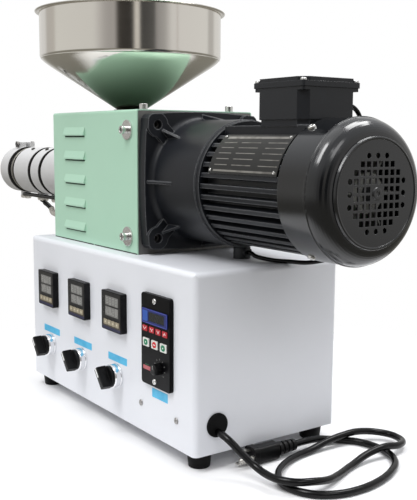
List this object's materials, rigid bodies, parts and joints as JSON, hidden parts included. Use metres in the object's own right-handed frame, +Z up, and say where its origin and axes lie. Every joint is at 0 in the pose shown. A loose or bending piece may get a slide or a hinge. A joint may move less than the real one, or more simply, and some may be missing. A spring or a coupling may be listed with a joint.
{
  "type": "desktop filament extruder",
  "caption": "Desktop filament extruder: white control cabinet with a mint gear housing, steel hopper, heater-banded barrel, black flange motor and a power cord.",
  "frame": {"origin": "on the floor under the middle of the machine's box, the free cord left out", "axes": "+X along the barrel axis from the nozzle to the motor fan, +Y from the control panel to the back, +Z up"},
  "size_m": [0.88, 0.2797, 0.5244],
  "materials": {
    "cabinet_white": "white powder coat, fine texture",
    "foot_rubber": "matt black rubber",
    "controller_black": "fine-textured black plastic",
    "collar_chrome": "bright chrome plate",
    "handle_black": "satin black plastic",
    "panel_black": "black plastic with a printed film front",
    "display_blue": "glossy blue film",
    "key_red": "red film",
    "button_white": "white film",
    "cover_mint": "mint green gloss paint on sheet",
    "block_steel": "ground grey steel",
    "hopper_steel": "polished stainless sheet",
    "barrel_steel": "turned steel, heat-tinted grey",
    "band_steel": "rolled stainless bands",
    "nozzle_brass": "turned brass",
    "motor_black": "satin black paint on a casting",
    "fan_cover_black": "semi-gloss black paint on pressed sheet",
    "rating_plate": "bare dark plate",
    "fan_grey": "pale moulded plastic",
    "box_black": "black moulded plastic",
    "cable_black": "black cable sheath",
    "blade_metal": "plated metal"
  },
  "bodies": {
    "machine": {"cabinet_shell": "cabinet_white", "cabinet_base": "cabinet_white", "foot_front_left": "foot_rubber", "foot_front_right": "foot_rubber", "foot_back_left": "foot_rubber", "foot_back_right": "foot_rubber", "controller_1": "controller_black", "controller_2": "controller_black", "controller_3": "controller_black", "selector_1_collar": "collar_chrome", "selector_2_collar": "collar_chrome", "selector_3_collar": "collar_chrome", "speed_panel": "panel_black", "speed_display": "display_blue", "speed_key_row": "key_red", "speed_buttons": "button_white", "housing_cover": "cover_mint", "motor_plate": "block_steel", "feed_block": "block_steel", "throat_collar": "hopper_steel", "hopper_cone": "hopper_steel", "hopper_bowl": "hopper_steel", "barrel": "barrel_steel", "barrel_flange": "barrel_steel", "die_head": "barrel_steel", "nozzle": "nozzle_brass", "heater_band_1": "band_steel", "heater_band_2": "band_steel", "heater_band_3": "band_steel", "heater_band_4": "band_steel", "motor_bell": "motor_black", "motor_body": "motor_black", "nameplate": "rating_plate", "rear_shield": "motor_black", "fan_cover": "fan_cover_black", "terminal_box": "box_black", "terminal_lid": "box_black", "cable_gland": "box_black", "motor_lead": "cable_black", "lead_gland": "box_black", "cord_grommet": "cable_black", "power_cord": "cable_black", "plug": "cable_black", "plug_prongs": "blade_metal"},
    "selector_1": {"selector_1_handle": "handle_black"},
    "selector_2": {"selector_2_handle": "handle_black"},
    "selector_3": {"selector_3_handle": "handle_black"},
    "knob": {"speed_knob": "handle_black"},
    "fan_rotor": {"fan": "fan_grey"}
  },
  "joints": [
    {"name": "selector_1_turn", "type": "hinge", "parent": "machine", "child": "selector_1", "pos_m": [-0.0605, -0.11745, 0.07], "axis": [0, 1, 0], "range_deg": [0, 80]},
    {"name": "selector_2_turn", "type": "hinge", "parent": "machine", "child": "selector_2", "pos_m": [0.033, -0.11745, 0.07], "axis": [0, 1, 0], "range_deg": [0, 80]},
    {"name": "selector_3_turn", "type": "hinge", "parent": "machine", "child": "selector_3", "pos_m": [0.1265, -0.11745, 0.07], "axis": [0, 1, 0], "range_deg": [0, 80]},
    {"name": "speed_knob_turn", "type": "hinge", "parent": "machine", "child": "knob", "pos_m": [0.2315, -0.11345, 0.103], "axis": [0, 1, 0], "range_deg": [-150, 150]},
    {"name": "fan_spin", "type": "hinge", "parent": "machine", "child": "fan_rotor", "pos_m": [0.411, 0.00255, 0.3045], "axis": [1, 0, 0], "continuous": true}
  ]
}
